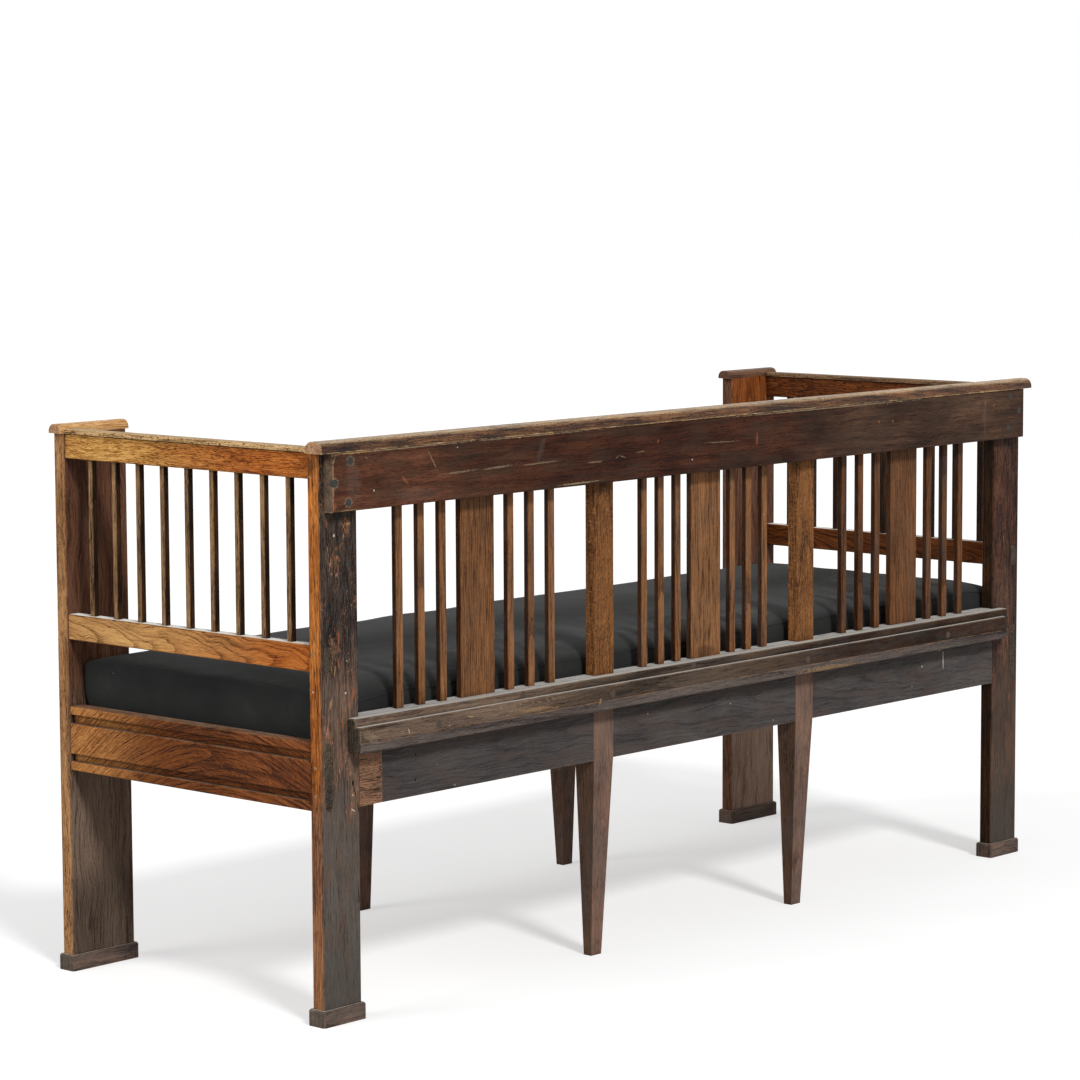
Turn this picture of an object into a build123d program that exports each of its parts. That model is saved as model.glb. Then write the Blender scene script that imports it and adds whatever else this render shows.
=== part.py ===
"""Oak mission settle: a long bench with spindled ends, a slatted back and a loose seat cushion.

Every rail, post, slat and spindle is a solid of its own, let into its neighbours by the joint
that a cabinetmaker would cut there. Millimetres, +Z up. The origin is on the floor, under the
middle of the settle. +X runs along the seat, to the right of someone who looks at the front,
and the front faces -Y.
"""
from build123d import *
import os

# Frame, measured over the faces of the corner posts
frame_length = 1768
frame_depth = 588
post_top = 850

# Corner posts: planks that stand with their wide faces to the front and the back
post_thick = 24
back_post_width = 78
front_post_width = 128
post_edge_bevel = 1.5

# Foot blocks under the corner posts
foot_height = 25
foot_overhang = 5.5
foot_corner_radius = 5
foot_edge_bevel = 2.5
stub_length = 15
stub_shoulder = 5

# Half-round caps along the top
front_cap_height = 14.5
front_cap_overhang = 7
front_cap_nose = 5
front_cap_radius = 11.5
back_cap_height = 17.5
back_cap_overhang = 12
back_cap_behind = 19
back_cap_depth = 36
back_cap_radius = 14
strip_height = 7
strip_overhang = 3
strip_radius = 5.5
cap_end_bevel = 1.5

# Rails of the two end frames
end_rail_inset = 3
end_rail_thick = 22
top_rail_height = 39
mid_rail_top = 567
mid_rail_height = 40
rail_edge_bevel = 1.5
tenon_thick = 14
tenon_shoulder = 2
seat_tenon_radius = 2

# Moulded seat rails: three raised bands with two grooves between them
seat_rail_top = 422
seat_rail_height = 102
seat_rail_thick = 24
groove_depth = 8
top_band = 14
upper_groove = 13
main_band = 49
lower_groove = 11
band_edge_radius = 2.5

# Square spindles in the end frames
spindle_count = 9
spindle_size = 10
spindle_socket = 8
spindle_edge_bevel = 0.8

# Back: crest board, crest rail, sill and apron
crest_height = 87
crest_thick = 18
crest_inset = 11
crest_edge_radius = 2.5
crest_rail_drop = 2
sill_top = 455
sill_height = 25
sill_depth = 28
sill_edge_bevel = 1.5
apron_bottom = 320
apron_thick = 22
apron_block_width = 47
cross_tenon_length = 20
cross_tenon_thick = 10
cross_tenon_shoulder = 5

# Moulding along the back of the sill, which laps the posts at both ends. At the left end its two
# prouder bands stop short of the backing.
mould_lap = 24
mould_left_setback = 16
mould_upper_height = 12
mould_main_height = 23.5
mould_lower_height = 15.5
mould_upper_proud = 17
mould_main_proud = 26
mould_lower_proud = 28
mould_edge_bevel = 1.6
mould_end_radius = 4

# Slats and stiles of the back
stile_thick = 20
stile_shift = 5
stile_edge_bevel = 1.2
slat_width = 15
slat_thick = 9
wide_slat_width = 76
wide_slat_thick = 10
slats_each_side = 3
outer_slat_pitch = 47
outer_slat_gap = 30
middle_slat_pitch = 42
middle_slat_gap = 24.5
slat_socket = 8
slat_edge_bevel = 0.8

# Tapered middle legs, two under the back and two under the front
leg_spacing = 516
leg_width = 46
leg_depth = 40
leg_foot_width = 24
leg_foot_depth = 16
leg_foot_setback = 17
front_leg_setback = 16

# Seat structure under the cushion
board_top = 398
board_thick = 18
board_count = 4
board_gap = 3
board_clearance = 2
bearer_height = 40
cleat_height = 30
cleat_width = 24

# Loose box cushion
cushion_side_height = 90
cushion_crown = 11
cushion_side_gap = 2
cushion_rest_gap = 0.3
cushion_corner_radius = 14
cushion_roll = 14
cushion_roll_inset = 9
cushion_pull_in = 6
cushion_waist = 3
crown_shoulder_share = 0.65
crown_shoulder_inset_share = 0.13
crown_top_inset_share = 0.36

# The bench is centred over the floor between its front feet and the moulding behind it
y_back = (frame_depth + foot_overhang - mould_lower_proud) / 2
y_front = y_back - frame_depth
y_back_inner = y_back - post_thick
y_front_inner = y_front + post_thick
x_end = frame_length / 2
x_back_inner = x_end - back_post_width
x_front_inner = x_end - front_post_width

# Levels that more than one piece shares
crest_bottom = post_top - crest_height
crest_rail_bottom = crest_bottom - crest_rail_drop
sill_bottom = sill_top - sill_height
seat_rail_bottom = seat_rail_top - seat_rail_height
board_bottom = board_top - board_thick
bearer_bottom = board_bottom - bearer_height
mould_height = mould_upper_height + mould_main_height + mould_lower_height
mould_bottom = sill_top - mould_height

# Each end rail as its thickness, its underside and its height
top_rail = (end_rail_thick, post_top - top_rail_height, top_rail_height)
mid_rail = (end_rail_thick, mid_rail_top - mid_rail_height, mid_rail_height)
seat_rail = (seat_rail_thick, seat_rail_bottom, seat_rail_height)
end_rails = (top_rail, mid_rail, seat_rail)

# Each rail along the back as its underside, its height and its depth
crest_rail = (crest_rail_bottom, post_top - crest_rail_bottom, post_thick)
sill = (sill_bottom, sill_height, apron_thick)
apron = (apron_bottom, sill_bottom - apron_bottom, apron_thick)
back_rails = (crest_rail, sill, apron)

os.makedirs("parts", exist_ok=True)


def save(piece, name):
    """Label a finished piece and write it to its own file."""
    piece.label = name
    export_step(piece, f"parts/{name}.step")


def block(x_span, y_span, z_span, mode=Mode.ADD):
    """Add or cut a box between two limits along each axis, given in either order."""
    spans = (x_span, y_span, z_span)
    with Locations(tuple((near + far) / 2 for near, far in spans)):
        Box(*(abs(far - near) for near, far in spans), mode=mode)


def end_tenon(side, rail, y_start, mode=Mode.ADD):
    """Tenon of an end rail, or its mortise, right through a post. Only the seat rail's is square."""
    thick, bottom, height = rail
    x_tenon = side * (x_end - end_rail_inset - thick / 2)
    face = Plane((x_tenon, y_start, bottom + height / 2), x_dir=(0, 0, 1), z_dir=(0, -1, 0))
    with BuildSketch(face) as section:
        if rail == seat_rail:
            RectangleRounded(height - 2 * tenon_shoulder, tenon_thick, seat_tenon_radius)
        else:
            SlotOverall(height - 2 * tenon_shoulder, tenon_thick)
    extrude(section.sketch, amount=post_thick, mode=mode)


def cross_tenon(x_start, toward, rail, y_outer, inward, mode=Mode.ADD):
    """Blind tenon, or its mortise, of a rail that runs along the front or the back."""
    bottom, height, depth = rail
    y_middle = y_outer + inward * depth / 2
    block(
        (x_start, x_start + toward * cross_tenon_length),
        (y_middle - cross_tenon_thick / 2, y_middle + cross_tenon_thick / 2),
        (bottom + cross_tenon_shoulder, bottom + height - cross_tenon_shoulder),
        mode,
    )


# Corner posts and their feet

def corner_post(side, width, y_outer, inward, cross_rails):
    """Plank on a stub tenon, with mortises for the end rails and for those that run along X."""
    x_outer = side * x_end
    x_inner = side * (x_end - width)
    y_inner = y_outer + inward * post_thick
    with BuildPart() as post:
        block((x_outer, x_inner), (y_outer, y_inner), (foot_height, post_top))
        chamfer(post.edges().filter_by(Axis.Z), post_edge_bevel)
        stub(side, width, y_outer, inward, Mode.ADD)
        for rail in end_rails:
            end_tenon(side, rail, max(y_outer, y_inner), Mode.SUBTRACT)
        for rail in cross_rails:
            cross_tenon(x_inner, side, rail, y_outer, inward, Mode.SUBTRACT)
    return post.part


def stub(side, width, y_outer, inward, mode):
    """Stub at the bottom of a post, or the pocket for it in the foot block."""
    middle = (side * (x_end - width / 2), y_outer + inward * post_thick / 2)
    with BuildSketch(Plane.XY.offset(foot_height)) as section:
        with Locations(middle):
            Rectangle(width - 2 * stub_shoulder, post_thick - 2 * stub_shoulder)
    extrude(section.sketch, amount=-stub_length, mode=mode)


def foot_block(side, width, y_outer, inward):
    """Rounded block, wider than the post all round, that the post stands in."""
    with BuildPart() as foot:
        with BuildSketch():
            with Locations((side * (x_end - width / 2), y_outer + inward * post_thick / 2)):
                RectangleRounded(
                    width + 2 * foot_overhang,
                    post_thick + 2 * foot_overhang,
                    foot_corner_radius,
                )
        extrude(amount=foot_height)
        chamfer(foot.faces().sort_by(Axis.Z)[-1].edges(), foot_edge_bevel)
        stub(side, width, y_outer, inward, Mode.SUBTRACT)
    return foot.part


front_rail = (seat_rail_bottom, seat_rail_height, seat_rail_thick)
corners = (
    ("back", back_post_width, y_back, -1, back_rails),
    ("front", front_post_width, y_front, 1, (front_rail,)),
)
for side_name, side in (("left", -1), ("right", 1)):
    for place, width, y_outer, inward, cross_rails in corners:
        post = corner_post(side, width, y_outer, inward, cross_rails)
        save(post, f"post_{place}_{side_name}")
        save(foot_block(side, width, y_outer, inward), f"foot_{place}_{side_name}")


# Caps along the top

def rounded_bar(end_plane, width, height, radius, length):
    """Bar with a flat underside and a rounded top, run out from the sketch plane at one end."""
    with BuildPart() as bar:
        with BuildSketch(end_plane) as profile:
            Rectangle(width, height, align=(Align.CENTER, Align.MIN))
            fillet(profile.vertices().group_by(Axis.Y)[-1], radius)
        extrude(amount=length)
        rims = bar.faces().filter_by(end_plane).edges()
        chamfer(rims.filter_by(lambda edge: edge.center().Z > post_top), cap_end_bevel)
    return bar.part


def front_cap(side):
    """Short cap over one front post, flush with the post's back."""
    length = front_post_width + 2 * front_cap_overhang
    depth = post_thick + front_cap_nose
    x_start = side * (x_end - front_post_width / 2) - length / 2
    end_plane = Plane((x_start, y_front_inner - depth / 2, post_top), x_dir=(0, 1, 0), z_dir=(1, 0, 0))
    return rounded_bar(end_plane, depth, front_cap_height, front_cap_radius, length)


def back_cap():
    """Cap rail over the back posts and the crest, past both ends of the frame."""
    length = frame_length + 2 * back_cap_overhang
    y_middle = y_back + back_cap_behind - back_cap_depth / 2
    end_plane = Plane((-length / 2, y_middle, post_top), x_dir=(0, 1, 0), z_dir=(1, 0, 0))
    return rounded_bar(end_plane, back_cap_depth, back_cap_height, back_cap_radius, length)


def cap_strip(side):
    """Thin rounded strip over an end rail, between the back cap and the front cap."""
    width = end_rail_thick + 2 * strip_overhang
    x_middle = side * (x_end - end_rail_inset - end_rail_thick / 2)
    y_start = y_back + back_cap_behind - back_cap_depth
    end_plane = Plane((x_middle, y_start, post_top), x_dir=(1, 0, 0), z_dir=(0, -1, 0))
    return rounded_bar(end_plane, width, strip_height, strip_radius, y_start - y_front_inner)


save(back_cap(), "cap_back")
for side_name, side in (("left", -1), ("right", 1)):
    save(front_cap(side), f"cap_front_{side_name}")
    save(cap_strip(side), f"cap_strip_{side_name}")


# End frames

def spindle_places(side):
    """Centres of the spindles in an end frame, spaced so that all the gaps are equal."""
    free = frame_depth - 2 * post_thick - spindle_count * spindle_size
    pitch = spindle_size + free / (spindle_count + 1)
    x_spindle = side * (x_end - end_rail_inset - end_rail_thick / 2)
    y_middle = (y_back + y_front) / 2
    first = y_middle - pitch * (spindle_count - 1) / 2
    return [(x_spindle, first + number * pitch) for number in range(spindle_count)]


def end_rail(side, rail, socket_level=None, socket_run=0):
    """Rail between two posts of one end, with sockets for the spindles if it carries them."""
    thick, bottom, height = rail
    x_outer = side * (x_end - end_rail_inset)
    with BuildPart() as bar:
        block(
            (x_outer, x_outer - side * thick),
            (y_back_inner, y_front_inner),
            (bottom, bottom + height),
        )
        chamfer(bar.edges().filter_by(Axis.Y), rail_edge_bevel)
        end_tenon(side, rail, y_back)
        end_tenon(side, rail, y_front_inner)
        if socket_level is not None:
            with BuildSketch(Plane.XY.offset(socket_level)):
                with Locations(*spindle_places(side)):
                    Rectangle(spindle_size, spindle_size)
            extrude(amount=socket_run, mode=Mode.SUBTRACT)
    return bar.part


def groove_spans():
    """Heights between which the two grooves of a moulded seat rail are cut."""
    upper_top = seat_rail_top - top_band
    lower_top = upper_top - upper_groove - main_band
    return (upper_top, upper_top - upper_groove), (lower_top, lower_top - lower_groove)


def moulded_end_rail(side):
    """End seat rail with its raised bands turned outwards."""
    x_outer = side * (x_end - end_rail_inset)
    with BuildPart() as bar:
        block(
            (x_outer, x_outer - side * seat_rail_thick),
            (y_back_inner, y_front_inner),
            (seat_rail_bottom, seat_rail_top),
        )
        for z_span in groove_spans():
            block(
                (x_outer, x_outer - side * groove_depth),
                (y_back_inner, y_front_inner),
                z_span,
                Mode.SUBTRACT,
            )
        lips = bar.edges().filter_by(Axis.Y).group_by(Axis.X)[-1 if side > 0 else 0]
        fillet(lips, band_edge_radius)
        end_tenon(side, seat_rail, y_back)
        end_tenon(side, seat_rail, y_front_inner)
    return bar.part


def spindles(side):
    """Set of square spindles of one end, let into the rails above and below."""
    bottom = mid_rail_top - spindle_socket
    top = post_top - top_rail_height + spindle_socket
    with BuildPart() as bars:
        with BuildSketch(Plane.XY.offset(bottom)):
            with Locations(*spindle_places(side)):
                Rectangle(spindle_size, spindle_size)
        extrude(amount=top - bottom)
        chamfer(bars.edges().filter_by(Axis.Z), spindle_edge_bevel)
    return bars.part


for side_name, side in (("left", -1), ("right", 1)):
    underside = post_top - top_rail_height
    save(end_rail(side, top_rail, underside, spindle_socket), f"end_top_rail_{side_name}")
    save(end_rail(side, mid_rail, mid_rail_top, -spindle_socket), f"end_mid_rail_{side_name}")
    save(moulded_end_rail(side), f"end_seat_rail_{side_name}")
    save(spindles(side), f"spindles_{side_name}")


# Back: the slats and stiles first, because the rails take their sockets from them

stile_half = leg_width / 2
stile_places = (-leg_spacing / 2 - stile_shift, leg_spacing / 2 - stile_shift)
bay_edges = (
    (-x_back_inner, stile_places[0] - stile_half),
    (stile_places[0] + stile_half, stile_places[1] - stile_half),
    (stile_places[1] + stile_half, x_back_inner),
)
bay_steps = (
    (outer_slat_gap, outer_slat_pitch),
    (middle_slat_gap, middle_slat_pitch),
    (outer_slat_gap, outer_slat_pitch),
)
bay_names = ("left", "middle", "right")
y_slats = y_back - post_thick / 2


def narrow_slat_places(bay):
    """Middles of the narrow slats of one bay, left set and right set."""
    near, far = bay_edges[bay]
    gap, pitch = bay_steps[bay]
    reach = wide_slat_width / 2 + gap + slat_width / 2
    steps = [reach + number * pitch for number in range(slats_each_side)]
    middle = (near + far) / 2
    return [middle - step for step in steps], [middle + step for step in steps]


def upright_set(places, width, thick, bevel):
    """Upright bars of the back, from a socket in the sill to a socket in the crest rail."""
    with BuildPart() as bars:
        with BuildSketch(Plane.XY.offset(sill_top - slat_socket)):
            with Locations(*((place, y_slats) for place in places)):
                Rectangle(width, thick)
        extrude(amount=crest_rail_bottom - sill_top + 2 * slat_socket)
        chamfer(bars.edges().filter_by(Axis.Z), bevel)
    return bars.part


uprights = {}
for bay, name in enumerate(bay_names):
    left_set, right_set = narrow_slat_places(bay)
    uprights[f"slats_{name}_bay_a"] = (left_set, slat_width, slat_thick, slat_edge_bevel)
    uprights[f"slats_{name}_bay_b"] = (right_set, slat_width, slat_thick, slat_edge_bevel)
    middle = [sum(bay_edges[bay]) / 2]
    uprights[f"wide_slat_{name}"] = (middle, wide_slat_width, wide_slat_thick, slat_edge_bevel)
for name, place in zip(("left", "right"), stile_places):
    uprights[f"stile_{name}"] = ([place], leg_width, stile_thick, stile_edge_bevel)
for name, (places, width, thick, bevel) in uprights.items():
    save(upright_set(places, width, thick, bevel), name)


def upright_sockets(level, run):
    """Cut the sockets of all the uprights from a rail."""
    with BuildSketch(Plane.XY.offset(level)) as sections:
        for places, width, thick, _ in uprights.values():
            with Locations(*((place, y_slats) for place in places)):
                Rectangle(width, thick)
    extrude(sections.sketch, amount=run, mode=Mode.SUBTRACT)


def back_rail(rail, depth, socket_level, socket_run):
    """Rail between the back posts, with a blind tenon at each end."""
    bottom, height, _ = rail
    with BuildPart() as bar:
        block((-x_back_inner, x_back_inner), (y_back, y_back - depth), (bottom, bottom + height))
        chamfer(bar.edges().filter_by(Axis.X), sill_edge_bevel)
        for side in (-1, 1):
            cross_tenon(side * x_back_inner, side, rail, y_back, -1)
        upright_sockets(socket_level, socket_run)
    return bar.part


save(back_rail(crest_rail, post_thick, crest_rail_bottom, slat_socket), "crest_rail")
save(back_rail(sill, sill_depth, sill_top, -slat_socket), "back_sill")

with BuildPart() as crest_board:
    block(
        (-x_end + crest_inset, x_end - crest_inset),
        (y_back, y_back + crest_thick),
        (crest_bottom, post_top),
    )
    fillet(crest_board.faces().sort_by(Axis.Y)[-1].edges(), crest_edge_radius)
save(crest_board.part, "crest_board")

# Moulding as three bands, each prouder than the one above it
mould_half_length = x_back_inner + mould_lap
x_prouder = mould_left_setback - mould_half_length
mould_bands = (
    (mould_lower_height, mould_lower_proud, x_prouder),
    (mould_main_height, mould_main_proud, x_prouder),
    (mould_upper_height, mould_upper_proud, -mould_half_length),
)
with BuildPart() as moulding:
    z_low = mould_bottom
    for band_height, proud, x_start in mould_bands:
        with BuildSketch(Plane.XY.offset(z_low)) as plan:
            with Locations(((x_start + mould_half_length) / 2, y_back + proud / 2)):
                Rectangle(mould_half_length - x_start, proud)
            fillet(plan.vertices().group_by(Axis.Y)[-1], mould_end_radius)
        extrude(amount=band_height)
        z_low += band_height
        if proud == mould_lower_proud:
            rim = moulding.faces().sort_by(Axis.Z)[0].edges()
        else:
            rim = moulding.faces().sort_by(Axis.Z)[-1].edges()
        chamfer(rim.sort_by(Axis.Y)[1:], mould_edge_bevel)
    block(
        (-mould_half_length, x_prouder),
        (y_back, y_back + mould_upper_proud),
        (mould_bottom, sill_top - mould_upper_height),
    )
save(moulding.part, "sill_moulding")


def apron_board(x_span, tenon_side=0):
    """Piece of the apron, flush with the backs of the posts and legs."""
    bottom, height, depth = apron
    with BuildPart() as board:
        block(x_span, (y_back, y_back - depth), (bottom, bottom + height))
        if tenon_side:
            cross_tenon(tenon_side * x_back_inner, tenon_side, apron, y_back, -1)
    return board.part


apron_ends = [leg_spacing / 2 - stile_half, leg_spacing / 2 + stile_half]
x_block = x_back_inner - apron_block_width
save(apron_board((-x_back_inner, -apron_ends[1]), -1), "apron_left")
save(apron_board((-apron_ends[0], apron_ends[0])), "apron_middle")
save(apron_board((apron_ends[1], x_block)), "apron_right")
save(apron_board((x_block, x_back_inner), 1), "apron_end_block")


# Middle legs

def middle_leg(side, y_outer, inward, neck_depths, neck_tops):
    """Leg that tapers on all four sides to the floor, with a notched neck above the apron."""
    x_leg = side * leg_spacing / 2
    foot_start = leg_foot_setback
    foot_end = leg_foot_setback + leg_foot_depth
    with BuildPart() as leg:
        with BuildSketch(Plane.XZ):
            Polygon(
                (x_leg - leg_foot_width / 2, 0),
                (x_leg + leg_foot_width / 2, 0),
                (x_leg + leg_width / 2, apron_bottom),
                (x_leg - leg_width / 2, apron_bottom),
                align=None,
            )
        extrude(amount=frame_depth, both=True)
        with BuildSketch(Plane.YZ):
            Polygon(
                (y_outer + inward * foot_start, 0),
                (y_outer + inward * foot_end, 0),
                (y_outer + inward * leg_depth, apron_bottom),
                (y_outer, apron_bottom),
                align=None,
            )
        extrude(amount=frame_length, both=True, mode=Mode.INTERSECT)
        for (start, end), top in zip(neck_depths, neck_tops):
            block(
                (x_leg - leg_width / 2, x_leg + leg_width / 2),
                (y_outer + inward * start, y_outer + inward * end),
                (apron_bottom, top),
            )
    return leg.part


back_neck = ((0, apron_thick), (apron_thick, leg_depth))
front_neck = ((seat_rail_thick - front_leg_setback, leg_depth),)
for side_name, side in (("left", -1), ("right", 1)):
    back_leg = middle_leg(side, y_back, -1, back_neck, (sill_bottom, bearer_bottom))
    front_leg = middle_leg(side, y_front + front_leg_setback, 1, front_neck, (bearer_bottom,))
    save(back_leg, f"middle_leg_back_{side_name}")
    save(front_leg, f"middle_leg_front_{side_name}")


# Front seat rail, moulded like those of the ends
with BuildPart() as front_bar:
    block(
        (-x_front_inner, x_front_inner),
        (y_front, y_front + seat_rail_thick),
        (seat_rail_bottom, seat_rail_top),
    )
    for z_span in groove_spans():
        block(
            (-x_front_inner, x_front_inner),
            (y_front, y_front + groove_depth),
            z_span,
            Mode.SUBTRACT,
        )
    fillet(front_bar.edges().filter_by(Axis.X).group_by(Axis.Y)[0], band_edge_radius)
    for side in (-1, 1):
        cross_tenon(side * x_front_inner, side, front_rail, y_front, 1)
save(front_bar.part, "front_seat_rail")


# Seat structure: cleats on the end rails, bearers between the middle legs, boards over both
x_seat = x_end - end_rail_inset - seat_rail_thick
y_boards_back = y_back_inner - board_clearance
y_boards_front = y_front_inner + board_clearance
for side_name, side in (("left", -1), ("right", 1)):
    with BuildPart() as cleat:
        block(
            (side * x_seat, side * (x_seat - cleat_width)),
            (y_boards_back, y_boards_front),
            (board_bottom - cleat_height, board_bottom),
        )
    save(cleat.part, f"seat_cleat_{side_name}")
    with BuildPart() as bearer:
        x_bearer = side * leg_spacing / 2
        block(
            (x_bearer - leg_width / 2, x_bearer + leg_width / 2),
            (y_back - apron_thick, y_front + seat_rail_thick),
            (bearer_bottom, board_bottom),
        )
    save(bearer.part, f"seat_bearer_{side_name}")

board_run = y_boards_back - y_boards_front
board_width = (board_run - board_gap * (board_count - 1)) / board_count
for number in range(board_count):
    y_edge = y_boards_front + number * (board_width + board_gap)
    with BuildPart() as board:
        block(
            (-x_seat + board_clearance, x_seat - board_clearance),
            (y_edge, y_edge + board_width),
            (board_bottom, board_top),
        )
    save(board.part, f"seat_board_{number + 1}")


# Loose cushion: a box with drawn-in sides, rolled edges and a low crown
cushion_x = x_seat - cushion_side_gap
cushion_y_back = y_back - sill_depth - cushion_side_gap
cushion_y_front = y_front_inner + cushion_side_gap
cushion_base = board_top + cushion_rest_gap


def cushion_outline(level, inset):
    """Plan of the cushion at one height, its four sides bowed inwards between round corners."""
    x_side = cushion_x - inset
    y_low = cushion_y_front + inset
    y_high = cushion_y_back - inset
    corner = cushion_corner_radius
    along_x = x_side - corner
    front_low, back_high = y_low + corner, y_high - corner
    y_middle = (y_low + y_high) / 2
    waist = cushion_pull_in
    with BuildSketch(Plane.XY.offset(level)) as outline:
        with BuildLine():
            ThreePointArc((-along_x, y_low), (0, y_low + waist), (along_x, y_low))
            RadiusArc((along_x, y_low), (x_side, front_low), -corner)
            ThreePointArc((x_side, front_low), (x_side - waist, y_middle), (x_side, back_high))
            RadiusArc((x_side, back_high), (along_x, y_high), -corner)
            ThreePointArc((along_x, y_high), (0, y_high - waist), (-along_x, y_high))
            RadiusArc((-along_x, y_high), (-x_side, back_high), -corner)
            ThreePointArc((-x_side, back_high), (waist - x_side, y_middle), (-x_side, front_low))
            RadiusArc((-x_side, front_low), (-along_x, y_low), -corner)
        make_face()
    return outline.sketch


# Each level of the cushion as its height over the base and how far its outline is drawn in
cushion_depth = cushion_y_back - cushion_y_front
cushion_levels = (
    (0, cushion_roll_inset),
    (cushion_roll, 0),
    (cushion_side_height / 2, cushion_waist),
    (cushion_side_height - cushion_roll, 0),
    (cushion_side_height, cushion_roll_inset),
    (
        cushion_side_height + cushion_crown * crown_shoulder_share,
        cushion_depth * crown_shoulder_inset_share,
    ),
    (cushion_side_height + cushion_crown, cushion_depth * crown_top_inset_share),
)
with BuildPart() as cushion:
    loft([cushion_outline(cushion_base + rise, inset) for rise, inset in cushion_levels], ruled=True)
save(cushion.part, "cushion")
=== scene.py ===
# %% [markdown]
# # An oak mission settle
#
# A long hall settle of the arts and crafts years, seen from behind: plank posts on block feet, square
# spindles in the ends, narrow and wide slats in the back, and a loose black box cushion. The joinery is
# already solid in the packed model, so this lesson is about age. Old oak is never one brown: the ends
# have faded to honey, the backs are nearly black, the arrises are rubbed bare and dust lies on the ledges.

# %% Load the packed model
import math
import bmesh
import bpy
import numpy as np
from mathutils import Matrix, Vector


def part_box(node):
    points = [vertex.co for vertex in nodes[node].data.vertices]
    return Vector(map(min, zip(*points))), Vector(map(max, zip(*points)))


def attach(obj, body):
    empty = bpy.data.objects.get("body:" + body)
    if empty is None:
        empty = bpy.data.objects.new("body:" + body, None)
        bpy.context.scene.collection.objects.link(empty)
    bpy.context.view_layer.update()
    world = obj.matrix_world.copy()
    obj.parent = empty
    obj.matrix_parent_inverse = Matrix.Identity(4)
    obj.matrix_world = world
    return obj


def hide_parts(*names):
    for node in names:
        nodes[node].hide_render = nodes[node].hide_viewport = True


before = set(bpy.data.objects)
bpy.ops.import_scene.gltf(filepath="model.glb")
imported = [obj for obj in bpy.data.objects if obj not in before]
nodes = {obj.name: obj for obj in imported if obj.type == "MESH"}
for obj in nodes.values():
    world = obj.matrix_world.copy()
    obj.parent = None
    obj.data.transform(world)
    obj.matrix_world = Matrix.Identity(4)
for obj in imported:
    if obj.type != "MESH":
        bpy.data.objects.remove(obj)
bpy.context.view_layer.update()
scene = bpy.context.scene


def linked(name, data):
    """A new object of this data in the scene."""
    made = bpy.data.objects.new(name, data)
    scene.collection.objects.link(made)
    return made


print("pieces of joinery:", len(nodes))

# %% [markdown]
# ## The camera
#
# The photograph was taken from behind and beyond the right end, a little above the top of the back, with
# a long lens. The camera's place, turn and lens were worked out from the corners of the posts, and stand
# here as they came out. An unturned camera looks straight down, so a right angle lifts it to the horizon.

# %% Camera
camera_place = Vector((4.56544, 4.05622, 1.30401))
camera_heading, camera_tilt, camera_roll = 0.833983, -0.110120, -0.004692
camera_data = bpy.data.cameras.new("camera")
camera_data.sensor_width = 36
camera_data.lens = 121.48
camera = linked("camera", camera_data)
turn = Matrix.Rotation(math.pi - camera_heading, 4, "Z")
lift = Matrix.Rotation(math.pi / 2 + camera_tilt, 4, "X")
lean = Matrix.Rotation(camera_roll, 4, "Z")
camera.matrix_world = Matrix.Translation(camera_place) @ turn @ lift @ lean
bpy.context.scene.camera = camera
print("camera at", tuple(round(value, 3) for value in camera_place))

# %% [markdown]
# ## Writing a finish as arithmetic
#
# A material is a graph, and a graph of sixty boxes is hard to read. Here a socket is wrapped in a small
# class whose operators add the Math nodes, so a mask can be written as a formula. Its step turns a number
# into a soft mask, and its coat lays one colour over another. Colours are written as six-digit codes.

# %% Sockets that do arithmetic
def tone(colour):
    """Linear values of a colour code, as a shader takes them. Any other colour passes unchanged."""
    if not isinstance(colour, str):
        return colour
    parts = [int(colour[start:start + 2], 16) / 255 for start in (0, 2, 4)]
    linear = [part / 12.92 if part <= 0.04045 else ((part + 0.055) / 1.055) ** 2.4 for part in parts]
    return (*linear, 1.0)


def operators(operation):
    """Two methods that add a Math node: one for value * other, and one for other * value."""

    def forward(self, other):
        return self.math(operation, other)

    def reflected(self, other):
        return self.finish.node("Math", {"operation": operation}, {0: other, 1: self})

    return forward, reflected


class Value:
    """One output socket. Arithmetic on it adds Math nodes to its finish."""

    def __init__(self, finish, socket):
        self.finish = finish
        self.socket = socket

    def math(self, operation, other=0.0):
        return self.finish.node("Math", {"operation": operation}, {0: self, 1: other})

    __add__, __radd__ = operators("ADD")
    __sub__, __rsub__ = operators("SUBTRACT")
    __mul__, __rmul__ = operators("MULTIPLY")
    __truediv__, __rtruediv__ = operators("DIVIDE")
    __pow__, __rpow__ = operators("POWER")

    def step(self, low, high):
        """0 up to low and 1 from high on, with a soft slope between them."""
        feeds = {"Value": self, "From Min": low, "From Max": high}
        return self.finish.node("MapRange", {"interpolation_type": "SMOOTHSTEP"}, feeds)

    def coat(self, mask, over):
        """This colour with another one over it where the mask is 1."""
        return self.finish.node("Mix", {"data_type": "RGBA"}, {0: mask, 6: self, 7: tone(over)}, 2)


print("a middle oak brown:", [round(part, 3) for part in tone("6b4631")])

# %% [markdown]
# A finish holds one material. Every node comes from one method, which takes the node's settings first and
# then what its sockets are fed. The others are the few moves that old oak and cloth need: a noise that is
# stretched by hand, a ramp of tones, a test of which way a face looks, and how close a corner is.

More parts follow.
